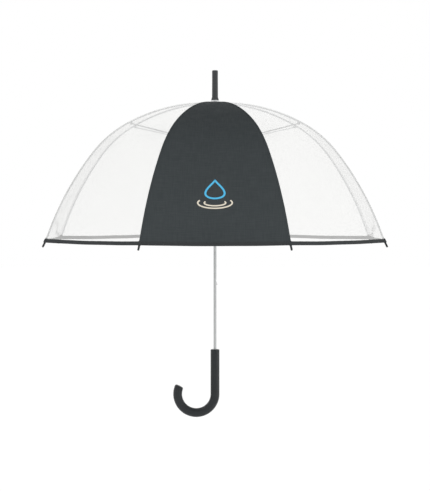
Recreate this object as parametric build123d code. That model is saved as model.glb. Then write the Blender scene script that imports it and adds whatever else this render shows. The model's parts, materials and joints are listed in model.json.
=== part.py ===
from build123d import *
import os
from math import atan2, cos, degrees, hypot, radians, sin, sqrt, tan

# Clear bubble umbrella, open, held upright by its crook handle. Millimetres and degrees.
# The shaft is the Z axis. The origin is the middle of the handle's straight grip.
# +Z points to the ferrule, and the crook hooks towards -X. Panel 1 faces -Y.

SEAT_GAP = 0.05  # between parts that are pushed together
CUT = 1.0  # how far a cutting shape runs past what it cuts
SHORTEST_EDGE = 1.0  # no edge of a curved strip is shorter
TOLERANCE = 0.01

# Handle
GRIP_RADIUS = 10.7
GRIP_LENGTH = 108.0
CROOK_RADIUS = 45.0  # of the bend's centre line
CROOK_SWEEP = 206.0
HANDLE_TOP_ROUND = 2.0
CROOK_END_ROUND = 4.5
HANDLE_BORE_DEPTH = 45.0
HANDLE_TOP_Z = GRIP_LENGTH / 2
HANDLE_PIN_Z = HANDLE_TOP_Z - 12.0
HANDLE_PIN_RADIUS = 1.0
HANDLE_PIN_RECESS = 0.3  # of each end of the pin below the grip's surface

# Shaft
SHAFT_RADIUS = 3.5
SHAFT_WALL = 0.5
SHAFT_LENGTH_SEEN = 594.5  # from the handle to the canopy's crown
CROWN_Z = HANDLE_TOP_Z + SHAFT_LENGTH_SEEN
SHAFT_END_PLAY = 1.0  # between the shaft's ends and the floors of their bores

# Ribs: a straight start, bends as (radius, turn), and a straight end that flares outwards
RIB_COUNT = 8
PITCH = 360.0 / RIB_COUNT
HINGE_RADIUS = 9.0
HINGE_Z = CROWN_Z - 3.4
RIB_SLOPE = 2.5
RIB_STRAIGHT = 20.0
RIB_BENDS = ((450.0, 25.4), (275.0, 23.2), (680.0, 18.2), (-90.0, -6.0))
RIB_END_STRAIGHT = 8.0
RIB_RUNS = [(RIB_STRAIGHT, None)] + [(radius * radians(turn), radius) for radius, turn in RIB_BENDS]
RIB_RUNS.append((RIB_END_STRAIGHT, None))
RIB_LENGTH = sum(length for length, radius in RIB_RUNS)
RIB_BENDS_END = RIB_LENGTH - RIB_END_STRAIGHT
RIB_TAIL = 50.0  # the straight line past the rods, which the tip caps and the hem carry on along
RIB_RUNS.append((RIB_TAIL, None))
RIB_FLEX_AT = 220.0  # where the stiff channel ends and the springy rod starts
CHANNEL_WIDTH = 3.2
CHANNEL_HEIGHT = 2.4
CHANNEL_WALL = 0.5
CHANNEL_SOLID_END = 8.0  # length that isn't hollow, round an eye
ROD_RADIUS = 1.4
FLEX_GAP = 0.1

# Stretchers, from the ribs down to the runner
STRETCHER_AT = RIB_FLEX_AT - 8.0
PIVOT_DEPTH = 4.7  # below the rib's centre line
LUG_REACH = 3.0  # of a lug to each side of its rivet
LUG_BELOW_RIVET = 1.5
LUG_GAP_REACH = 6.0  # of the gap between the lugs, to each side of the rivet
STRETCHER_WIDTH = 2.8
STRETCHER_HEIGHT = 2.4
TAB_WIDTH = 1.7
TAB_LENGTH = 10.0
TAB_OVERLAP = 3.0  # of the tab inside the channel's solid end
EYE_RADIUS = 1.9
RIVET_RADIUS = 0.8
RIVET_CLEARANCE = 0.2
RIVET_HEADS = 0.4  # past the lugs, at each end

# Rib tips
TIP_RADIUS = 2.3
TIP_GRIP = 7.0  # length that holds the rod
TIP_REACH = 17.0  # length past the rod's end
TIP_ROUND = 2.1
TIP_CLEARANCE = 0.1

# Canopy film, which lies over the ribs
FILM_CLEARANCE = 2.35  # from a rib's centre line to the film's inner face
FILM_THICKNESS = 0.4
FILM_START = -4.0  # the film starts this far inside the rib hinges
HEM_HANG = 6.0
FILM_END = RIB_LENGTH + HEM_HANG  # and its hem hangs a little past the rods
PANEL_GAP = 0.15
GORE_SQUEEZE = cos(radians(PITCH / 2))  # a flat gore's mid line is this much nearer the axis

# Crown parts
WASHER_RADIUS = 9.85
WASHER_HEIGHT = 3.5
WASHER_ROUND = 1.0
NOTCH_RADIUS = 11.0
NOTCH_BELOW_HINGE = 5.5
NOTCH_ABOVE_HINGE = 1.7
SLOT_WIDTH = 3.8
NOTCH_SLOT_FLOOR = 6.6
FERRULE_Z = CROWN_Z + WASHER_HEIGHT + SEAT_GAP
FERRULE_HEIGHT = 71.5
FERRULE_TOP_Z = FERRULE_Z + FERRULE_HEIGHT
FERRULE_BASE_RADIUS = 9.4
FERRULE_NECK_RADIUS = 7.2
FERRULE_TIP_RADIUS = 7.0
FERRULE_TIP_LENGTH = 25.0
FERRULE_FLARE = 8.0
FERRULE_END_ROUND = 2.0
FERRULE_BORE_DEPTH = 20.0

# Runner
RUNNER_PIVOT_RADIUS = 12.2
RUNNER_PIVOT_Z = CROWN_Z - 100.0
RUNNER_BORE_RADIUS = SHAFT_RADIUS + 0.3
RUNNER_SLEEVE_RADIUS = 8.2
RUNNER_FLANGE_RADIUS = 14.0
RUNNER_FLANGE_HALF = 3.5
RUNNER_FLANGE_TAPER = 4.0
RUNNER_SLOT_FLOOR = 9.2
RUNNER_WIRE_RING = 10.1
RUNNER_LENGTH = 50.0  # below the pivots
RUNNER_BOTTOM_Z = RUNNER_PIVOT_Z - RUNNER_LENGTH
RUNNER_LIP_RADIUS = 9.6
RUNNER_LIP_HEIGHT = 5.0
RUNNER_LIP_TAPER = 6.0
WIRE_RADIUS = 0.7

# Leaf-spring catches in the shaft, on its +X side
CATCH_WIDTH = 3.0
CATCH_PROUD = 2.4
CATCH_NOSE = 1.5  # length of the wedge's flat nose
CATCH_WEDGE = 12.0
CATCH_LEAF = 22.0
CATCH_BACK = 1.4
CATCH_PLAY = 0.5  # between a catch's shoulder and what it holds
CATCH_INSIDE = SHAFT_RADIUS - SHAFT_WALL - 0.5  # radius of the leaf's outer side
CATCH_SLOT_WIDTH = 3.6
CATCH_SLOT_LENGTH = CATCH_WEDGE + 3.0
CATCH_WINDOW_BELOW_PIVOT = 24.0  # the runner's window, from its pivots to the catching edge
CLOSED_PIVOT_RADIUS = 10.5  # the stretcher pivots' distance from the axis when closed


def spoke(angle):
    """Turn a unit built along +X to an angle measured from -Y towards +X."""
    return Rot(0, 0, angle - 90)


def rib_point(distance):
    """Radius, height and downward slope (radians) on a rib, at a distance from its hinge."""
    x, z, slope = HINGE_RADIUS, HINGE_Z, radians(RIB_SLOPE)
    for length, radius in RIB_RUNS:
        run = min(distance, length)
        turned = slope + (run / radius if radius else 0)
        x += radius * (sin(turned) - sin(slope)) if radius else run * cos(slope)
        z += radius * (cos(turned) - cos(slope)) if radius else -run * sin(slope)
        slope = turned
        distance -= run
        if distance <= 0:
            break
    return x, z, slope


def beside_rib(distance, offset, squeeze=1.0):
    """A point in the XZ plane at an offset outwards from the rib, or from a gore's mid line."""
    x, z, slope = rib_point(distance)
    out_x, out_z = sin(slope), squeeze * cos(slope)
    scale = offset / hypot(out_x, out_z)
    return Vector(x * squeeze + out_x * scale, 0, z + out_z * scale)


def rib_breaks(start, end):
    """Distances where one run of the rib ends and the next starts, and each run's middle."""
    marks = [0.0]
    for length, radius in RIB_RUNS:
        marks += [marks[-1] + length / 2, marks[-1] + length]
    inner = [mark for mark in marks if start + SHORTEST_EDGE < mark < end - SHORTEST_EDGE]
    return [start] + inner + [end]


def rib_edges(start, end, offset, squeeze=1.0):
    """The rib's line, moved outwards by an offset, as lines and arcs."""
    marks = rib_breaks(start, end)
    edges = []
    for near, far in zip(marks, marks[1:]):
        points = [beside_rib(mark, offset, squeeze) for mark in (near, (near + far) / 2, far)]
        straight = far <= RIB_STRAIGHT + TOLERANCE or near >= RIB_BENDS_END - TOLERANCE
        edges.append(Line(points[0], points[2]) if straight else ThreePointArc(*points))
    return edges


def band(start, end, low, high, squeeze=1.0):
    """The strip between two offsets from the rib's line, as a face in the XZ plane."""
    sides = rib_edges(start, end, low, squeeze) + rib_edges(start, end, high, squeeze)
    caps = [
        Line(beside_rib(mark, low, squeeze), beside_rib(mark, high, squeeze))
        for mark in (start, end)
    ]
    return make_face(sides + caps)


def across(face, width):
    """Extrude a face of the XZ plane to both sides of it."""
    return extrude(face, width / 2, both=True)


def side_face(*points):
    """A polygon in the XZ plane, from (x, z) pairs."""
    return make_face(Polyline(*[(x, 0, z) for x, z in points], close=True))


def cross_cylinder(point, radius, width):
    """A cylinder along Y at a point of the XZ plane."""
    return Pos(point.X, 0, point.Z) * Rot(90, 0, 0) * Cylinder(radius, width)


def revolve_about_shaft(*points):
    """Turn a profile of (radius, height) pairs about the Z axis."""
    return revolve(side_face(*points), Axis.Z)


HANDLE_PIN = Vector(0, 0, HANDLE_PIN_Z)
HINGE = Vector(HINGE_RADIUS, 0, HINGE_Z)
STRETCHER_PIVOT = beside_rib(STRETCHER_AT, -PIVOT_DEPTH)
RUNNER_PIVOT = Vector(RUNNER_PIVOT_RADIUS, 0, RUNNER_PIVOT_Z)
STRETCHER_LENGTH = (STRETCHER_PIVOT - RUNNER_PIVOT).length
PIVOT_ARM = (STRETCHER_PIVOT - HINGE).length
CLOSED_SWING = CLOSED_PIVOT_RADIUS - HINGE_RADIUS
CLOSED_PIVOT_Z = HINGE_Z - sqrt(PIVOT_ARM**2 - CLOSED_SWING**2)
CLOSED_LEAN = RUNNER_PIVOT_RADIUS - CLOSED_PIVOT_RADIUS
CLOSED_RUNNER_Z = CLOSED_PIVOT_Z - sqrt(STRETCHER_LENGTH**2 - CLOSED_LEAN**2)
TOP_CATCH_Z = RUNNER_BOTTOM_Z - CATCH_PLAY
BOTTOM_CATCH_Z = CLOSED_RUNNER_Z - CATCH_WINDOW_BELOW_PIVOT


def around_slots(floor, reach, low, high):
    """One radial slot for each rib, from a floor radius outwards."""
    slot = Box(reach - floor, SLOT_WIDTH, high - low)
    slot = Pos((floor + reach) / 2, 0, (low + high) / 2) * slot
    return [spoke(PITCH * (k + 0.5)) * slot for k in range(RIB_COUNT)]


def catch_slot(shoulder_z, down):
    """The shaft's slot for one catch; down is -1 where the wedge runs down from its shoulder."""
    middle = shoulder_z + down * (CATCH_WEDGE / 2)
    return Pos(SHAFT_RADIUS, 0, middle) * Box(2 * SHAFT_RADIUS, CATCH_SLOT_WIDTH, CATCH_SLOT_LENGTH)


def shaft_tube():
    low = HANDLE_TOP_Z - HANDLE_BORE_DEPTH + SHAFT_END_PLAY
    high = FERRULE_Z + FERRULE_BORE_DEPTH - SHAFT_END_PLAY
    tube = Cylinder(SHAFT_RADIUS, high - low) - Cylinder(SHAFT_RADIUS - SHAFT_WALL, high - low)
    tube = Pos(0, 0, (low + high) / 2) * tube
    tube -= catch_slot(TOP_CATCH_Z, -1)
    tube -= catch_slot(BOTTOM_CATCH_Z, 1)
    return tube - cross_cylinder(HANDLE_PIN, HANDLE_PIN_RADIUS, 4 * SHAFT_RADIUS)


def round_flat_end(body, rank, radius):
    """Round the edge of the body's lowest (rank 0) or highest (rank -1) flat face."""
    return fillet(body.faces().filter_by(GeomType.PLANE).sort_by(Axis.Z)[rank].edges(), radius)


def crook_handle():
    bend_centre = Vector(-CROOK_RADIUS, 0, -HANDLE_TOP_Z)
    straight = Line((0, 0, HANDLE_TOP_Z), (0, 0, -HANDLE_TOP_Z))
    end, middle = [
        bend_centre + Vector(cos(turn), 0, -sin(turn)) * CROOK_RADIUS
        for turn in (radians(CROOK_SWEEP), radians(CROOK_SWEEP / 2))
    ]
    bend = ThreePointArc(straight @ 1, middle, end)
    section = Plane(origin=straight @ 0, z_dir=(0, 0, -1)) * Circle(GRIP_RADIUS)
    handle = sweep(section, path=Wire([straight, bend]))
    handle = round_flat_end(handle, -1, HANDLE_TOP_ROUND)
    handle = round_flat_end(handle, 0, CROOK_END_ROUND)
    bore = Cylinder(SHAFT_RADIUS + SEAT_GAP, HANDLE_BORE_DEPTH)
    handle -= Pos(0, 0, HANDLE_TOP_Z - HANDLE_BORE_DEPTH / 2) * bore
    return handle - cross_cylinder(HANDLE_PIN, HANDLE_PIN_RADIUS + SEAT_GAP, 3 * GRIP_RADIUS)


def handle_pin():
    length = 2 * (GRIP_RADIUS - HANDLE_PIN_RECESS)
    return cross_cylinder(HANDLE_PIN, HANDLE_PIN_RADIUS - SEAT_GAP, length)


def ferrule():
    neck_z = FERRULE_Z + FERRULE_FLARE
    tip_z = FERRULE_TOP_Z - FERRULE_TIP_LENGTH
    body = revolve_about_shaft(
        (0, FERRULE_Z),
        (FERRULE_BASE_RADIUS, FERRULE_Z),
        (FERRULE_NECK_RADIUS, neck_z),
        (FERRULE_TIP_RADIUS, tip_z),
        (FERRULE_TIP_RADIUS, FERRULE_TOP_Z),
        (0, FERRULE_TOP_Z),
    )
    body = fillet(body.edges().group_by(Axis.Z)[-1], FERRULE_END_ROUND)
    bore = Cylinder(SHAFT_RADIUS + SEAT_GAP, FERRULE_BORE_DEPTH)
    return body - Pos(0, 0, FERRULE_Z + FERRULE_BORE_DEPTH / 2) * bore


def top_washer():
    bore = Cylinder(SHAFT_RADIUS + SEAT_GAP, WASHER_HEIGHT)
    washer = Cylinder(WASHER_RADIUS, WASHER_HEIGHT) - bore
    outer_edge = washer.edges().group_by(Axis.Z)[-1].sort_by(SortBy.RADIUS)[-1]
    return Pos(0, 0, CROWN_Z + WASHER_HEIGHT / 2) * fillet(outer_edge, WASHER_ROUND)


def wire_ring(ring_radius, height, spare=0.0):
    """A ring of wire about the shaft, or its groove where spare is a gap round the wire."""
    return Pos(0, 0, height) * Torus(ring_radius, WIRE_RADIUS + spare)


def top_notch():
    low, high = HINGE_Z - NOTCH_BELOW_HINGE, HINGE_Z + NOTCH_ABOVE_HINGE
    bore = Cylinder(SHAFT_RADIUS + SEAT_GAP, high - low)
    notch = Pos(0, 0, (low + high) / 2) * (Cylinder(NOTCH_RADIUS, high - low) - bore)
    notch -= around_slots(NOTCH_SLOT_FLOOR, 2 * NOTCH_RADIUS, low - CUT, high + CUT)
    return notch - wire_ring(HINGE_RADIUS, HINGE_Z, SEAT_GAP)


def notch_wire():
    return wire_ring(HINGE_RADIUS, HINGE_Z)


def runner_sleeve():
    top = RUNNER_PIVOT_Z + RUNNER_FLANGE_HALF
    flange_low = RUNNER_PIVOT_Z - RUNNER_FLANGE_HALF
    taper_low = flange_low - RUNNER_FLANGE_TAPER
    lip_high = RUNNER_BOTTOM_Z + RUNNER_LIP_HEIGHT
    body = revolve_about_shaft(
        (RUNNER_BORE_RADIUS, top),
        (RUNNER_FLANGE_RADIUS, top),
        (RUNNER_FLANGE_RADIUS, flange_low),
        (RUNNER_SLEEVE_RADIUS, taper_low),
        (RUNNER_SLEEVE_RADIUS, lip_high + RUNNER_LIP_TAPER),
        (RUNNER_LIP_RADIUS, lip_high),
        (RUNNER_LIP_RADIUS, RUNNER_BOTTOM_Z),
        (RUNNER_BORE_RADIUS, RUNNER_BOTTOM_Z),
    )
    body -= around_slots(RUNNER_SLOT_FLOOR, 2 * RUNNER_FLANGE_RADIUS, taper_low - CUT, top + CUT)
    window_low = RUNNER_PIVOT_Z - CATCH_WINDOW_BELOW_PIVOT - CATCH_PLAY
    window = Box(2 * RUNNER_SLEEVE_RADIUS, CATCH_SLOT_WIDTH, CATCH_SLOT_LENGTH)
    body -= Pos(RUNNER_SLEEVE_RADIUS, 0, window_low + CATCH_SLOT_LENGTH / 2) * window
    return body - wire_ring(RUNNER_WIRE_RING, RUNNER_PIVOT_Z, SEAT_GAP)


def runner_wire():
    return wire_ring(RUNNER_WIRE_RING, RUNNER_PIVOT_Z)


def catch(shoulder_z, down):
    """A leaf spring with a proud wedge, whose leaf runs on from the wedge inside the shaft."""
    wedge_end = shoulder_z + down * CATCH_WEDGE
    leaf_end = shoulder_z + down * CATCH_LEAF
    outline = side_face(
        (CATCH_BACK, shoulder_z),
        (SHAFT_RADIUS + CATCH_PROUD, shoulder_z),
        (SHAFT_RADIUS + CATCH_PROUD, shoulder_z + down * CATCH_NOSE),
        (CATCH_INSIDE, wedge_end),
        (CATCH_INSIDE, leaf_end),
        (CATCH_BACK, leaf_end),
    )
    return across(outline, CATCH_WIDTH)


def rib_inner():
    """The stiff U-channel from the notch, with its eye and its two stretcher lugs."""
    half = CHANNEL_HEIGHT / 2
    inside = CHANNEL_WIDTH - 2 * CHANNEL_WALL
    end = RIB_FLEX_AT - FLEX_GAP
    lug_low = -PIVOT_DEPTH - LUG_BELOW_RIVET
    lugs = band(STRETCHER_AT - LUG_REACH, STRETCHER_AT + LUG_REACH, lug_low, 0)
    hollow = band(CHANNEL_SOLID_END, end + CUT, -half - CUT, half - CHANNEL_WALL)
    gap = band(STRETCHER_AT - LUG_GAP_REACH, STRETCHER_AT + LUG_GAP_REACH, lug_low - CUT, -half)
    rib = across(band(0, end, -half, half), CHANNEL_WIDTH) + across(lugs, CHANNEL_WIDTH)
    rib += cross_cylinder(HINGE, EYE_RADIUS, CHANNEL_WIDTH)
    rib = rib - across(hollow, inside) - across(gap, inside)
    rib -= cross_cylinder(HINGE, WIRE_RADIUS + RIVET_CLEARANCE, 2 * CHANNEL_WIDTH)
    return rib - cross_cylinder(STRETCHER_PIVOT, RIVET_RADIUS + SEAT_GAP, 2 * CHANNEL_WIDTH)


def rib_rivet():
    return cross_cylinder(STRETCHER_PIVOT, RIVET_RADIUS, CHANNEL_WIDTH + 2 * RIVET_HEADS)


def rib_outer():
    """The round rod that carries on from the channel to the tip."""
    start = RIB_FLEX_AT + FLEX_GAP
    path = Wire(rib_edges(start, RIB_LENGTH, 0))
    section = Plane(origin=path @ 0, z_dir=path % 0) * Circle(ROD_RADIUS)
    return sweep(section, path=path)


def rib_tip():
    """The cap pushed over the rod's end, which reaches past the hem."""
    x, z, slope = rib_point(RIB_LENGTH)
    along = Vector(cos(slope), 0, -sin(slope))
    middle = Vector(x, 0, z) + along * ((TIP_REACH - TIP_GRIP) / 2)
    body = Cylinder(TIP_RADIUS, TIP_GRIP + TIP_REACH)
    body = fillet(body.edges().group_by(Axis.Z)[-1], TIP_ROUND)
    body -= Pos(0, 0, -TIP_REACH / 2) * Cylinder(ROD_RADIUS + TIP_CLEARANCE, TIP_GRIP)
    return Plane(origin=middle, z_dir=along) * body


def stretcher():
    """A straight U-channel with a flat tab and eye that turns on the rib's rivet."""
    along = (RUNNER_PIVOT - STRETCHER_PIVOT).normalized()
    angle = degrees(atan2(along.Z, along.X))
    channel_length = STRETCHER_LENGTH - TAB_LENGTH + TAB_OVERLAP
    channel_middle = STRETCHER_LENGTH - channel_length / 2
    body = Pos(channel_middle, 0, 0) * Box(channel_length, STRETCHER_WIDTH, STRETCHER_HEIGHT)
    hollow_length = channel_length - CHANNEL_SOLID_END
    hollow = Box(hollow_length, STRETCHER_WIDTH - 2 * CHANNEL_WALL, STRETCHER_HEIGHT)
    body -= Pos(channel_middle, 0, CHANNEL_WALL) * hollow
    body += Pos(TAB_LENGTH / 2, 0, 0) * Box(TAB_LENGTH, TAB_WIDTH, STRETCHER_HEIGHT)
    body += Rot(90, 0, 0) * Cylinder(EYE_RADIUS, TAB_WIDTH)
    body -= Rot(90, 0, 0) * Cylinder(RIVET_RADIUS + RIVET_CLEARANCE, 2 * STRETCHER_WIDTH)
    return Pos(STRETCHER_PIVOT.X, 0, STRETCHER_PIVOT.Z) * Rot(0, -angle, 0) * body


def gore_wedge():
    """The space between two ribs, less half of the gap between two panels."""
    near = PANEL_GAP / sin(radians(PITCH / 2))
    far = 2 * RIB_LENGTH
    side = (far - near) * tan(radians(PITCH / 2))
    outline = make_face(Polyline((near, 0), (far, side), (far, -side), close=True))
    return extrude(outline, 2 * CROWN_Z)


def panel(start, end):
    """One gore's film between two distances down the ribs, flat from rib to rib."""
    low, high = FILM_CLEARANCE, FILM_CLEARANCE + FILM_THICKNESS
    film = across(band(start, end, low, high, GORE_SQUEEZE), 2 * RIB_LENGTH)
    return film & gore_wedge()


def save(name, *shapes):
    shape = shapes[0] if len(shapes) == 1 else Compound(children=list(shapes))
    export_step(shape, f"parts/{name}.step")


os.makedirs("parts", exist_ok=True)

save("shaft_tube", shaft_tube())
save("crook_handle", crook_handle())
save("handle_pin", handle_pin())
save("ferrule", ferrule())
save("top_washer", top_washer())
save("top_notch", top_notch())
save("notch_wire", notch_wire())
save("runner_sleeve", runner_sleeve())
save("runner_wire", runner_wire())
save("top_catch", catch(TOP_CATCH_Z, -1))
save("bottom_catch", catch(BOTTOM_CATCH_Z, 1))

INNER, RIVET, OUTER, TIP, STRETCHER = rib_inner(), rib_rivet(), rib_outer(), rib_tip(), stretcher()
UPPER = panel(FILM_START, RIB_FLEX_AT - FLEX_GAP)
LOWER = panel(RIB_FLEX_AT + FLEX_GAP, FILM_END)

for number in range(1, RIB_COUNT + 1):
    at_rib = spoke(PITCH * (number - 0.5))
    at_gore = spoke(PITCH * (number - 1))
    save(f"rib_{number}_inner", at_rib * INNER, at_rib * RIVET)
    save(f"rib_{number}_outer", at_rib * OUTER)
    save(f"rib_{number}_tip", at_rib * TIP)
    save(f"stretcher_{number}", at_rib * STRETCHER)
    save(f"panel_{number}_upper", at_gore * UPPER)
    save(f"panel_{number}_lower", at_gore * LOWER)
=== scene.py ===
import json
import math

import bpy
import numpy as np
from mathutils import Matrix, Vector


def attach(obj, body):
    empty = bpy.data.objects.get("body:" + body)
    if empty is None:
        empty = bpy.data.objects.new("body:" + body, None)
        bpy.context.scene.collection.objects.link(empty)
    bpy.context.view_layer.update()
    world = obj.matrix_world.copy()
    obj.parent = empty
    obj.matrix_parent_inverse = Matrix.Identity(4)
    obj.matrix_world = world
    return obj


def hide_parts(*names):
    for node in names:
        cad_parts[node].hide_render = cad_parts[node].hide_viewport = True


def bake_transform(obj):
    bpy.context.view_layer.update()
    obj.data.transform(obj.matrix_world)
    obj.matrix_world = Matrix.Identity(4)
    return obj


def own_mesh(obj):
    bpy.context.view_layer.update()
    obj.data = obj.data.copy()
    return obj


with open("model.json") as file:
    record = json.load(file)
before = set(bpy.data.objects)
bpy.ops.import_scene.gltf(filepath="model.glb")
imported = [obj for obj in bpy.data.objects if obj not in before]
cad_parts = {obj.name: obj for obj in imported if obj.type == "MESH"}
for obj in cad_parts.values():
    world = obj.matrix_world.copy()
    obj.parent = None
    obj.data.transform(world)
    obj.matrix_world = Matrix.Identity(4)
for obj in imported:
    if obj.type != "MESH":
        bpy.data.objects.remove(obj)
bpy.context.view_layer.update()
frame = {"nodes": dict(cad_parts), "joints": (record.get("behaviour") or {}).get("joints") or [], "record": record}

MM = 0.001

# ---- Where things are, in metres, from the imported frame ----
NODES = frame["nodes"]
JOINTS = {joint["name"]: joint for joint in frame["joints"]}
RIB_COUNT = sum(name.endswith("_hinge") for name in JOINTS)
PITCH = 2 * math.pi / RIB_COUNT
HALF = PITCH / 2
SQUEEZE = math.cos(HALF)  # a flat gore's mid line is this much nearer the shaft
HINGE = JOINTS["rib_1_hinge"]["pos_m"]
HINGE_RADIUS = math.hypot(HINGE[0], HINGE[1])
HINGE_Z = HINGE[2]

# ---- The ribs' curve: a straight start, bends (radius, degrees) and a straight, flared end ----
RIB_SLOPE = math.radians(2.5)
RIB_STRAIGHT = 20 * MM
RIB_BENDS = ((450 * MM, 25.4), (275 * MM, 23.2), (680 * MM, 18.2), (-90 * MM, -6.0))
RIB_END_STRAIGHT = 8 * MM
RIB_RUNS = [(RIB_STRAIGHT, None)]
RIB_RUNS += [(radius * math.radians(turn), radius) for radius, turn in RIB_BENDS]
RIB_RUNS += [(RIB_END_STRAIGHT, None)]
RIB_LENGTH = sum(length for length, radius in RIB_RUNS)
RIB_RUNS += [(50 * MM, None)]
FLEX_AT = 220 * MM

# ---- The canopy ----
FILM_LIFT = 2.55 * MM  # from a rib's centre line to the film
FILM_START = -4.0 * MM
HEM_AT_RIB = RIB_LENGTH + 5.8 * MM
HEM_DIP = 2.0 * MM  # the hem hangs this much lower between two ribs
BINDING_HEIGHT = 9.4 * MM
BINDING_HALF = 0.45 * MM
BINDING_PROFILE = (  # distance below the hem's edge, and share of BINDING_HALF
    (-BINDING_HEIGHT, 0.35),
    (-BINDING_HEIGHT + 0.4 * MM, 1.0),
    (-BINDING_HEIGHT / 2, 1.15),
    (-0.6 * MM, 1.0),
    (0.1 * MM, 0.0),
)
FILM_ABOVE_FOLD = 1.0 * MM  # the film ends this far above the binding's fold
TAB_WIDE = 8.0 * MM
TAB_THICK = 6.0 * MM
TAB_LIFT = 0.8 * MM  # of the tab's middle above the rib's centre line
TAB_SQUARENESS = 0.6  # 1 is an oval section, and smaller is squarer
TAB_OUTLINE = (  # height above the hem, and share of the full size
    (0.5 * MM, 0.75),
    (1.0 * MM, 0.95),
    (3 * MM, 1.0),
    (7 * MM, 1.0),
    (9.2 * MM, 0.95),
    (10 * MM, 0.8),
)
STITCH_BELOW_EDGE = 1.5 * MM
STITCH_LIFT = 1.12  # of BINDING_HALF, so that the thread lies on the tape
STITCHED_SHARE = 0.985  # of the hem between two ribs
STITCH_PROFILE = ((-0.5, 0.3), (-0.3, 1.0), (0.3, 1.0), (0.5, 0.3))  # share of length, of radius
SEAM_START = 3 * MM  # from the rib's hinge
SEAM_HALF = 3.2 * MM
SEAM_LIFT = 0.35 * MM
SEAM_SHARE = 0.45  # the most of half a gore's width that a seam may take, near the crown
SEAM_BESIDE_DARK = 0.4  # a dark seam reaches only this share as far over the clear film
HOLLOW = 6 * MM  # depth of a gore's slack between two ribs
HOLLOW_RISE = 60 * MM  # it sets in over this height above the hem
HOLLOW_START = 250 * MM  # and over this distance from the crown
FOLD_HEIGHT = 0.35 * MM
FOLD_LENGTH = 21 * MM  # a fold's width across the gore, over 2 pi
PUCKER_HEIGHT = 0.2 * MM
PUCKER_LENGTH = 3.4 * MM  # likewise
PUCKER_FADE = 5 * MM  # puckers die out over this distance from the binding
FOLD_PHASE = 1.7  # radians from one gore's folds to the next gore's

# ---- Colours ----
CLEAR = (0.895, 0.895, 0.882)
CLEAR_EDGE = (0.56, 0.56, 0.555)
SEAM_TONE = (0.55, 0.55, 0.545)
TAPE_TONE = (0.034, 0.037, 0.039)
BLUE = (0.07, 0.50, 0.82)
CREAM = (0.80, 0.73, 0.60)
INK_FADE = 0.86
CROWN_PAINTED_LIGHT = (0.56, 0.62)  # heights between which painted light from above makes the film lighter towards the crown
CROWN_SLANT = 0.55  # share of the slant's darkening that is left at the crown, where painted light from above lightens the rest


# ---------------------------------------------------------------- materials
class Finish:
    """A material with a Principled shader, and short ways to add nodes to it."""

    def __init__(self, name, colour, roughness, **values):
        self.material = bpy.data.materials.new(name)
        self.material.use_nodes = True
        self.tree = self.material.node_tree
        self.shader = self.tree.nodes["Principled BSDF"]
        self.shader.inputs["Base Color"].default_value = (*colour, 1)
        self.shader.inputs["Roughness"].default_value = roughness
        for socket, value in values.items():
            self.shader.inputs[socket.replace("_", " ")].default_value = value

    def node(self, kind, **settings):
        made = self.tree.nodes.new(kind)
        for key, value in settings.items():
            setattr(made, key, value)
        return made

    def link(self, out, into):
        self.tree.links.new(out, into)

    def place(self, source="Object", stretch=(1, 1, 1)):
        """Texture coordinates, in metres, stretched along their axes."""
        coordinates = self.node("ShaderNodeTexCoord").outputs[source]
        mapping = self.node("ShaderNodeMapping")
        mapping.inputs["Scale"].default_value = stretch
        self.link(coordinates, mapping.inputs["Vector"])
        return mapping.outputs["Vector"]

    def slant(self, blend):
        """0 where the surface faces the viewer, up to 1 where it is seen edge on."""
        weight = self.node("ShaderNodeLayerWeight")
        weight.inputs["Blend"].default_value = blend
        return weight.outputs["Facing"]

    def height(self):
        """Height up the umbrella, in metres."""
        split = self.node("ShaderNodeSeparateXYZ")
        self.link(self.place(), split.inputs["Vector"])
        return split.outputs["Z"]

    def noise(self, scale, detail=3.0, source="Object", stretch=(1, 1, 1)):
        noise = self.node("ShaderNodeTexNoise")
        noise.inputs["Scale"].default_value = scale
        noise.inputs["Detail"].default_value = detail
        self.link(self.place(source, stretch), noise.inputs["Vector"])
        return noise.outputs["Fac"]

    def bands(self, scale, direction):
        wave = self.node("ShaderNodeTexWave", wave_type="BANDS", bands_direction=direction)
        wave.inputs["Scale"].default_value = scale
        wave.inputs["Distortion"].default_value = 0.6
        wave.inputs["Detail"].default_value = 1.0
        self.link(self.place("UV"), wave.inputs["Vector"])
        return wave.outputs["Fac"]

    def ranged(self, value, low, high, start=0.3, end=0.7):
        spread = self.node("ShaderNodeMapRange")
        spread.inputs["From Min"].default_value = start
        spread.inputs["From Max"].default_value = end
        spread.inputs["To Min"].default_value = low
        spread.inputs["To Max"].default_value = high
        self.link(value, spread.inputs["Value"])
        return spread.outputs["Result"]

    def maths(self, operation, first, second):
        made = self.node("ShaderNodeMath", operation=operation)
        for value, socket in zip((first, second), made.inputs):
            if isinstance(value, (int, float)):
                socket.default_value = value
            else:
                self.link(value, socket)
        return made.outputs["Value"]

    def mottle(self, value, dark, light):
        """Base colour between two colours, by a 0 to 1 value."""
        ramp = self.node("ShaderNodeValToRGB")
        ramp.color_ramp.elements[0].color = (*dark, 1)
        ramp.color_ramp.elements[1].color = (*light, 1)
        self.link(value, ramp.inputs["Fac"])
        self.link(ramp.outputs["Color"], self.shader.inputs["Base Color"])

    def rough(self, value, low, high):
        self.link(self.ranged(value, low, high), self.shader.inputs["Roughness"])

    def bump(self, height, distance, strength=1.0, under=None):
        bump = self.node("ShaderNodeBump")
        bump.inputs["Strength"].default_value = strength
        bump.inputs["Distance"].default_value = distance
        self.link(height, bump.inputs["Height"])
        if under is not None:
            self.link(under, bump.inputs["Normal"])
        self.link(bump.outputs["Normal"], self.shader.inputs["Normal"])
        return bump.outputs["Normal"]


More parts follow.
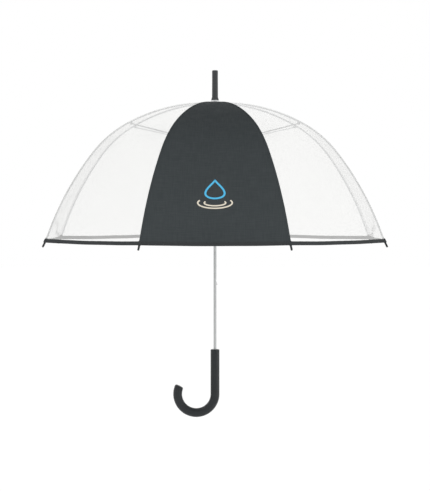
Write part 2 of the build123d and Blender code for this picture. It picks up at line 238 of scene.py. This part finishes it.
def clear_film():
    """Glossy, slightly milky vinyl that looks thicker where it is seen at a slant, less so on top, where painted
    light from above makes it lighter.
    """
    film = Finish("clear_film", CLEAR, 0.14, Specular_IOR_Level=0.35, Coat_Weight=0.1)
    # Painted light: towards the crown the slant's darkening is cut back, as if the film were lit from above.
    lit_from_above = film.ranged(film.height(), 1.0, CROWN_SLANT, *CROWN_PAINTED_LIGHT)
    slant = film.maths("MULTIPLY", film.slant(0.35), lit_from_above)
    haze = film.ranged(film.noise(4, 2), 0.44, 0.47)
    veil = film.ranged(slant, 0.0, 0.34, 0.30, 1.0)
    film.link(film.maths("ADD", haze, veil), film.shader.inputs["Alpha"])
    film.mottle(film.ranged(slant, 0, 1, 0.45, 0.8), CLEAR, CLEAR_EDGE)
    film.rough(film.noise(30, 4), 0.10, 0.18)
    film.bump(film.noise(9, 1, stretch=(1, 1, 0.4)), 0.8 * MM, 0.12)
    return film.material


def seam_film():
    """Two layers of the film welded together, with a fine grain from the welding bar."""
    film = Finish("seam_film", SEAM_TONE, 0.3)
    film.link(film.ranged(film.noise(8, 1), 0.30, 0.34), film.shader.inputs["Alpha"])
    film.bump(film.noise(1500, 2), 0.05 * MM, 0.05)
    return film.material


def woven(name, dark, light, thread, roughness=0.8):
    """A tight plain weave, with slubs, and painted shade that darkens the cloth where it is seen at a slant.
    thread is the thread's pitch.
    """
    cloth = Finish(name, dark, roughness, Specular_IOR_Level=0.1)
    turns = 1 / (thread * 2)
    weft = cloth.noise(1.0, 2, "UV", (30, 420, 1))
    warp = cloth.noise(1.0, 2, "UV", (420, 30, 1))
    slubs = cloth.ranged(cloth.maths("ADD", weft, warp), 0.0, 0.3, 0.75, 1.25)
    # Painted shade: the cloth is coloured darker where it is seen at a slant, so darker towards the top, as if
    # less lit there.
    painted_shade_by_slant = cloth.ranged(cloth.slant(0.5), 0.7, 0.0, 0.05, 0.6)
    cloth.mottle(cloth.maths("ADD", slubs, painted_shade_by_slant), dark, light)
    cloth.rough(cloth.noise(45, 3), roughness - 0.08, roughness + 0.08)
    across = cloth.bands(turns / 3, "X")
    along = cloth.bands(turns / 3, "Y")
    weave = cloth.bump(cloth.maths("MULTIPLY", across, along), 0.12 * MM, 0.7)
    cloth.bump(cloth.noise(7, 2), 1.2 * MM, 0.25, under=weave)
    return cloth.material


def twill_tape():
    """The hem's ribbed binding tape."""
    tape = Finish("hem_binding", TAPE_TONE, 0.75, Specular_IOR_Level=0.2)
    tape.mottle(tape.noise(180, 3), (0.028, 0.031, 0.033), (0.040, 0.044, 0.046))
    tape.rough(tape.noise(90, 2), 0.62, 0.8)
    tape.bump(tape.bands(300, "DIAGONAL"), 0.18 * MM, 0.6)
    return tape.material


def moulded(name, dark, light, roughness, gloss=0.5, grain=900, wear=20):
    """Moulded plastic with a fine grain and faint handling marks."""
    plastic = Finish(name, dark, roughness, Specular_IOR_Level=gloss)
    plastic.mottle(plastic.ranged(plastic.noise(wear, 4), 0, 1), dark, light)
    plastic.rough(plastic.noise(wear * 2, 3), roughness - 0.07, roughness + 0.07)
    plastic.bump(plastic.noise(grain, 2), 0.05 * MM, 0.35)
    return plastic.material


def lacquered(name, dark, light, roughness, metallic):
    """Lacquered metal, drawn along its length."""
    metal = Finish(name, dark, roughness, Metallic=metallic)
    metal.mottle(metal.ranged(metal.noise(40, 3), 0, 1), dark, light)
    metal.rough(metal.noise(1, 3, stretch=(700, 700, 25)), roughness - 0.06, roughness + 0.1)
    metal.bump(metal.noise(1, 2, stretch=(1500, 1500, 60)), 0.02 * MM, 0.4)
    return metal.material


def ink(name, colour):
    """Screen-printed ink, a little broken up by the weave under it."""
    paint = Finish(name, colour, 0.5)
    faded = tuple(channel * INK_FADE for channel in colour)
    paint.mottle(paint.ranged(paint.noise(500, 3), 0, 1), faded, colour)
    paint.bump(paint.noise(800, 2), 0.05 * MM, 0.5)
    return paint.material


FILM = clear_film()
SEAM = seam_film()
# Its two colours span the random slubs and the painted shade that darkens the cloth where it is seen at a slant.
DARK_CLOTH = woven("dark_canopy", (0.026, 0.031, 0.033), (0.053, 0.061, 0.064), 0.5 * MM)
BINDING = twill_tape()
THREAD = moulded("hem_thread", (0.05, 0.054, 0.057), (0.07, 0.075, 0.078), 0.6, grain=3000)
BLUE_INK = ink("blue_ink", BLUE)
CREAM_INK = ink("cream_ink", CREAM)
FINISHES = {
    "rib_steel": lacquered("rib_steel", (0.46, 0.47, 0.48), (0.56, 0.57, 0.58), 0.32, 0.6),
    "shaft_metal": lacquered("shaft_metal", (0.42, 0.43, 0.43), (0.47, 0.48, 0.48), 0.3, 0.55),
    "handle_plastic": moulded("handle_plastic", (0.012, 0.015, 0.017), (0.016, 0.019, 0.021), 0.38, 0.31),
    "ferrule_plastic": moulded("ferrule_plastic", (0.022, 0.025, 0.027), (0.028, 0.031, 0.033), 0.42),
    "tip_plastic": moulded("tip_plastic", (0.022, 0.025, 0.027), (0.030, 0.033, 0.035), 0.45, 0.2),
    "pale_plastic": moulded("pale_plastic", (0.80, 0.81, 0.82), (0.88, 0.89, 0.90), 0.35, grain=700),
    "bright_wire": lacquered("bright_wire", (0.55, 0.55, 0.56), (0.66, 0.66, 0.67), 0.25, 0.95),
}


def finish_cad_nodes():
    """Give each CAD node that stays the procedural finish of its record slot."""
    slots = {part["node"]: part["material_slot"] for part in frame["record"]["subparts"]}
    for name, piece in NODES.items():
        for slot in piece.material_slots:
            if slots[name] in FINISHES:
                slot.material = FINISHES[slots[name]]


# ---------------------------------------------------------------- shapes
def rib_at(distance):
    """Radius, height and downward slope on a rib, at distances from its hinge."""
    left = np.asarray(distance, float)
    x = np.full(left.shape, HINGE_RADIUS)
    z = np.full(left.shape, HINGE_Z)
    slope = np.full(left.shape, RIB_SLOPE)
    for length, radius in RIB_RUNS:
        run = np.minimum(left, length)
        if radius is None:
            x, z = x + run * np.cos(slope), z - run * np.sin(slope)
        else:
            turned = slope + run / radius
            x = x + radius * (np.sin(turned) - np.sin(slope))
            z = z + radius * (np.cos(turned) - np.cos(slope))
            slope = turned
        left = left - run
    return x, z, slope


def facing(angle):
    """Outward and sideways directions at an angle measured from -Y towards +X."""
    return (
        np.array((math.sin(angle), -math.cos(angle), 0)),
        np.array((math.cos(angle), math.sin(angle), 0)),
    )


def hem_at(across):
    """Distance down the ribs of the hem's edge; across is -1 at one rib and 1 at the next."""
    return HEM_AT_RIB + HEM_DIP * (1 - across**2)


def eased(value):
    """0 to 1 with a soft start and end."""
    share = np.clip(value, 0, 1)
    return share * share * (3 - 2 * share)


def relief(gore, distance, across):
    """How far the film stands off its flat gore: a hollow above the taut hem, folds and puckers."""
    x, _, _ = rib_at(distance)
    side = across * x * math.sin(HALF)
    up = np.maximum(hem_at(across) - distance, 0)
    hollow = -HOLLOW * eased(up / HOLLOW_RISE) * eased(distance / HOLLOW_START) * (1 - across**2)
    phase = FOLD_PHASE * gore
    folds = FOLD_HEIGHT * np.sin(side / FOLD_LENGTH + phase) * eased(distance / RIB_LENGTH)
    puckers = PUCKER_HEIGHT * np.sin(side / PUCKER_LENGTH + phase)
    puckers = puckers * np.exp(-np.abs(up - BINDING_HEIGHT) / PUCKER_FADE)
    return (hollow + folds + puckers) * (1 - across**4)


def on_gore(gore, distance, across, lift=0.0):
    """Points on a gore's film; lift is a height above it."""
    x, z, slope = rib_at(distance)
    out_x, out_z = np.sin(slope), SQUEEZE * np.cos(slope)
    size = np.hypot(out_x, out_z)
    out_x, out_z = out_x / size, out_z / size
    side = across * (x * SQUEEZE + FILM_LIFT * out_x) * math.tan(HALF)
    rise = FILM_LIFT + relief(gore, distance, across) + lift
    outward, sideways = facing(gore * PITCH)
    points = (x * SQUEEZE + rise * out_x)[..., None] * outward + side[..., None] * sideways
    points[..., 2] = z + rise * out_z
    return points


def mesh_piece(name, points, faces, materials, uv=None, face_materials=None):
    mesh = bpy.data.meshes.new(name)
    mesh.from_pydata(np.reshape(points, (-1, 3)).tolist(), [], faces)
    for made in materials:
        mesh.materials.append(made)
    if uv is not None:
        layer = mesh.uv_layers.new(name="UVMap")
        flat = np.reshape(uv, (-1, 2))
        for loop in mesh.loops:
            layer.data[loop.index].uv = flat[loop.vertex_index]
    for polygon in mesh.polygons:
        polygon.use_smooth = True
        if face_materials is not None:
            polygon.material_index = face_materials[polygon.index]
    mesh.validate()
    piece = bpy.data.objects.new(name, mesh)
    bpy.context.scene.collection.objects.link(piece)
    return piece


def grid_faces(rows, columns, closed=False, first=0):
    """Quads of a grid of points; closed joins its last column to its first."""
    faces = []
    for row in range(rows - 1):
        for column in range(columns if closed else columns - 1):
            after = (column + 1) % columns
            near, far = first + row * columns, first + (row + 1) * columns
            faces.append((near + column, near + after, far + after, far + column))
    return faces


def fold_with_canopy(piece):
    """Gives the piece its own copy of its mesh."""
    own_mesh(piece)


# ---------------------------------------------------------------- canopy
def gore_sheet(gore, zone, start, end, rows, columns=57):
    """One gore's film over one zone. end is a distance down the ribs, or None for the hem."""
    across, down = np.meshgrid(np.linspace(-1, 1, columns), np.linspace(0, 1, rows))
    last = hem_at(across) - FILM_ABOVE_FOLD if end is None else end
    distance = start + (last - start) * down
    points = on_gore(gore, distance, across)
    x, _, _ = rib_at(distance)
    uv = np.stack((across * x * math.sin(HALF), distance), axis=-1)
    cloth = DARK_CLOTH if gore == 0 else FILM
    piece = mesh_piece(f"canopy_{gore + 1}_{zone}", points, grid_faces(rows, columns), [cloth], uv)
    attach(piece, f"panel_{gore + 1}" if zone == "upper" else f"panel_{gore + 1}_end")
    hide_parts(f"panel_{gore + 1}_{zone}")
    fold_with_canopy(piece)


def hem_binding(gore, columns=81):
    """The tape folded round the hem: an outer face, a rounded fold and an inner face."""
    across = np.linspace(-1, 1, columns)
    inner_face = [(along, -height) for along, height in reversed(BINDING_PROFILE[:-1])]
    outline = [*BINDING_PROFILE, *inner_face]
    loops = [
        on_gore(gore, hem_at(across) + along, across, height * BINDING_HALF)
        for along, height in outline
    ]
    points = np.stack(loops, axis=1)
    faces = grid_faces(columns, len(outline), closed=True)
    faces.append(tuple(range(len(outline)))[::-1])
    faces.append(tuple((columns - 1) * len(outline) + i for i in range(len(outline))))
    side = across * rib_at(hem_at(across))[0] * math.sin(HALF)
    down = [along for along, _ in outline]
    uv = np.stack((np.repeat(side, len(outline)), np.tile(down, columns)), axis=-1)
    piece = mesh_piece(f"hem_binding_{gore + 1}", points, faces, [BINDING], uv)
    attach(piece, f"panel_{gore + 1}_end")
    fold_with_canopy(piece)


def hem_stitches(gore, pitch=3.6 * MM, length=2.5 * MM, radius=0.22 * MM, sides=6):
    """A row of lock stitches along the binding's upper edge."""
    width = 2 * rib_at(HEM_AT_RIB)[0] * math.sin(HALF)
    count = int(width * STITCHED_SHARE / pitch)
    rings = len(STITCH_PROFILE)
    turn = np.arange(sides) * 2 * np.pi / sides
    points, faces = [], []
    for number in range(count):
        middle = STITCHED_SHARE * (2 * (number + 0.5) / count - 1)
        for along, thick in STITCH_PROFILE:
            across = np.full(sides, middle + along * length * 2 / width)
            seat = hem_at(across) - BINDING_HEIGHT + STITCH_BELOW_EDGE
            place = seat + radius * thick * np.cos(turn)
            lift = BINDING_HALF * STITCH_LIFT + radius * thick * np.sin(turn)
            points.append(on_gore(gore, place, across, lift))
        first = number * rings * sides
        end = first + (rings - 1) * sides
        faces += grid_faces(rings, sides, closed=True, first=first)
        faces += [tuple(range(first, first + sides))[::-1], tuple(range(end, end + sides))]
    piece = mesh_piece(f"hem_stitches_{gore + 1}", np.array(points), faces, [THREAD])
    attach(piece, f"panel_{gore + 1}_end")
    fold_with_canopy(piece)


def hem_tab(number, sides=28):
    """The end of the binding, folded over the rib and its tip cap."""
    outward, sideways = facing((number - 0.5) * PITCH)
    turn = np.arange(sides) * 2 * np.pi / sides
    squared = np.abs(np.cos(turn)) ** TAB_SQUARENESS * np.sign(np.cos(turn))
    loops = []
    for up, size in TAB_OUTLINE:
        x, z, slope = rib_at(HEM_AT_RIB - up)
        away = TAB_LIFT + TAB_THICK / 2 * size * np.sin(turn)
        points = (x + away * np.sin(slope))[:, None] * outward
        points = points + (TAB_WIDE / 2 * size * squared)[:, None] * sideways
        points[:, 2] = z + away * np.cos(slope)
        loops.append(points)
    faces = grid_faces(len(loops), sides, closed=True)
    faces += [tuple(range(sides))[::-1], tuple(range((len(loops) - 1) * sides, len(loops) * sides))]
    piece = mesh_piece(f"hem_tab_{number}", np.array(loops), faces, [BINDING])
    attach(piece, f"rib_{number}_end")


def rib_seam(number, rows=121):
    """The strip where two gores are joined over a rib."""
    distance = np.linspace(SEAM_START, HEM_AT_RIB - FILM_ABOVE_FOLD, rows)
    spread = np.linspace(0, 1, 4)
    near, far = number - 1, number % RIB_COUNT
    x, _, _ = rib_at(distance)
    half_gore = x * math.sin(HALF)
    width = np.minimum(SEAM_HALF, half_gore * SEAM_SHARE)
    near_width = width * (SEAM_BESIDE_DARK if number == RIB_COUNT else 1)
    far_width = width * (SEAM_BESIDE_DARK if number == 1 else 1)
    near_places = [1 - share * near_width / half_gore for share in spread[::-1]]
    far_places = [share * far_width / half_gore - 1 for share in spread[1:]]
    columns = [on_gore(near, distance, place, SEAM_LIFT) for place in near_places]
    columns += [on_gore(far, distance, place, SEAM_LIFT) for place in far_places]
    points = np.stack(columns, axis=1)
    offsets = np.concatenate((-spread[::-1], spread[1:])) * SEAM_HALF
    uv = np.stack((np.tile(offsets, rows), np.repeat(distance, len(offsets))), axis=-1)
    beside_dark = number in (1, RIB_COUNT)
    cloth = DARK_CLOTH if beside_dark else SEAM
    piece = mesh_piece(f"rib_seam_{number}", points, grid_faces(rows, len(offsets)), [cloth], uv)
    follow_rib(piece)


def follow_rib(piece):
    """Bakes the piece's placement into its mesh."""
    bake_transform(piece)


# ---------------------------------------------------------------- print on the dark gore
PRINT_AT = RIB_LENGTH - 116 * MM
PRINT_LIFT = 0.25 * MM
DROP_ABOVE = 14 * MM
DROP_HALF_HEIGHT = 23 * MM
DROP_WIDTH = 30 * MM
DROP_SHARPNESS = 1.6
DROP_LINE = 4.2 * MM
RIPPLES_BELOW = 20 * MM
RIPPLES = ((23 * MM, 7 * MM), (37 * MM, 13 * MM))  # half width and half height
RIPPLE_SWEEP = (math.radians(-28), math.radians(208))
RIPPLE_LINE = 3.2 * MM


def printed_line(name, sideways, down, width, made, closed):
    """A line of even width on the dark gore, through points in metres from the print's middle."""
    path = np.stack((sideways, down), axis=-1)
    step = np.roll(path, -1, axis=0) - np.roll(path, 1, axis=0)
    if not closed:
        step[0], step[-1] = path[1] - path[0], path[-1] - path[-2]
    step = step / np.linalg.norm(step, axis=1)[:, None]
    normal = np.stack((-step[:, 1], step[:, 0]), axis=-1)
    edges = np.stack([path + normal * width * share for share in (-0.5, 0, 0.5)], axis=1)
    distance = PRINT_AT + edges[..., 1]
    across = edges[..., 0] / (rib_at(distance)[0] * math.sin(HALF))
    points = on_gore(0, distance, across, PRINT_LIFT)
    faces = grid_faces(len(path), 3)
    if closed:
        last = (len(path) - 1) * 3
        faces += [(last + i, last + i + 1, i + 1, i) for i in (0, 1)]
    piece = mesh_piece(name, points, faces, [made])
    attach(piece, "panel_1_end")
    fold_with_canopy(piece)


def rain_print():
    """A plain raindrop over two ripples."""
    turn = np.linspace(0, 2 * np.pi, 73)[:-1]
    side = DROP_WIDTH * np.sin(turn) * np.sin(turn / 2) ** DROP_SHARPNESS
    down = -DROP_ABOVE - DROP_HALF_HEIGHT * np.cos(turn)
    printed_line("print_drop", side, down, DROP_LINE, BLUE_INK, True)
    sweep = np.linspace(*RIPPLE_SWEEP, 61)
    for number, (wide, tall) in enumerate(RIPPLES, start=1):
        side, down = wide * np.cos(sweep), RIPPLES_BELOW + tall * np.sin(sweep)
        printed_line(f"print_ripple_{number}", side, down, RIPPLE_LINE, CREAM_INK, False)


# ---------------------------------------------------------------- stage, camera and light
CAMERA_DISTANCE = 3.430
CAMERA_ABOVE_RIM = 0.0814
CAMERA_LENS = 104.7
CAMERA_PITCH = math.radians(1.62)
FLOOR_BELOW = 0.62
FLOOR_HALF = 20.0
KEY_PLACE = (3.2, -1.4, 0.0)
KEY_SIZE = 0.8
KEY_POWER = 8


def camera():
    """From the front, a little above the rim, and looking slightly down."""
    rim_z = float(rib_at(RIB_LENGTH)[1])
    data = bpy.data.cameras.new("camera")
    data.lens = CAMERA_LENS
    data.clip_end = 200
    made = bpy.data.objects.new("camera", data)
    made.location = (0, -CAMERA_DISTANCE, rim_z + CAMERA_ABOVE_RIM)
    made.rotation_euler = (math.pi / 2 - CAMERA_PITCH, 0, 0)
    bpy.context.scene.collection.objects.link(made)
    bpy.context.scene.camera = made


def white_world():
    world = bpy.data.worlds.new("white_room")
    world.use_nodes = True
    world.node_tree.nodes["Background"].inputs["Color"].default_value = (1, 1, 1, 1)
    world.node_tree.nodes["Background"].inputs["Strength"].default_value = 1.0
    bpy.context.scene.world = world
    bpy.context.scene.view_settings.view_transform = "Standard"


def softbox(name, place, target, size, power):
    data = bpy.data.lights.new(name, "AREA")
    data.size = size
    data.energy = power
    made = bpy.data.objects.new(name, data)
    made.location = place
    made.rotation_euler = (Vector(target) - Vector(place)).to_track_quat("-Z", "Y").to_euler()
    bpy.context.scene.collection.objects.link(made)


def floor():
    glow = {"Emission_Color": (1, 1, 1, 1), "Emission_Strength": 0.08}
    plain = Finish("floor", (0.95, 0.95, 0.95), 0.9, **glow)
    plain.mottle(plain.noise(0.6, 2), (0.94, 0.94, 0.94), (0.96, 0.96, 0.96))
    signs = ((-1, -1), (1, -1), (1, 1), (-1, 1))
    corners = [(x * FLOOR_HALF, y * FLOOR_HALF, -FLOOR_BELOW) for x, y in signs]
    mesh_piece("floor", np.array(corners), [(0, 1, 2, 3)], [plain.material])


camera()
white_world()
floor()
softbox("key", KEY_PLACE, (0, 0, 0), KEY_SIZE, KEY_POWER)
finish_cad_nodes()
for gore in range(RIB_COUNT):
    gore_sheet(gore, "upper", FILM_START, FLEX_AT, 30)
    gore_sheet(gore, "lower", FLEX_AT, None, 60)
    hem_binding(gore)
    hem_stitches(gore)
for number in range(1, RIB_COUNT + 1):
    rib_seam(number)
    hem_tab(number)
rain_print()
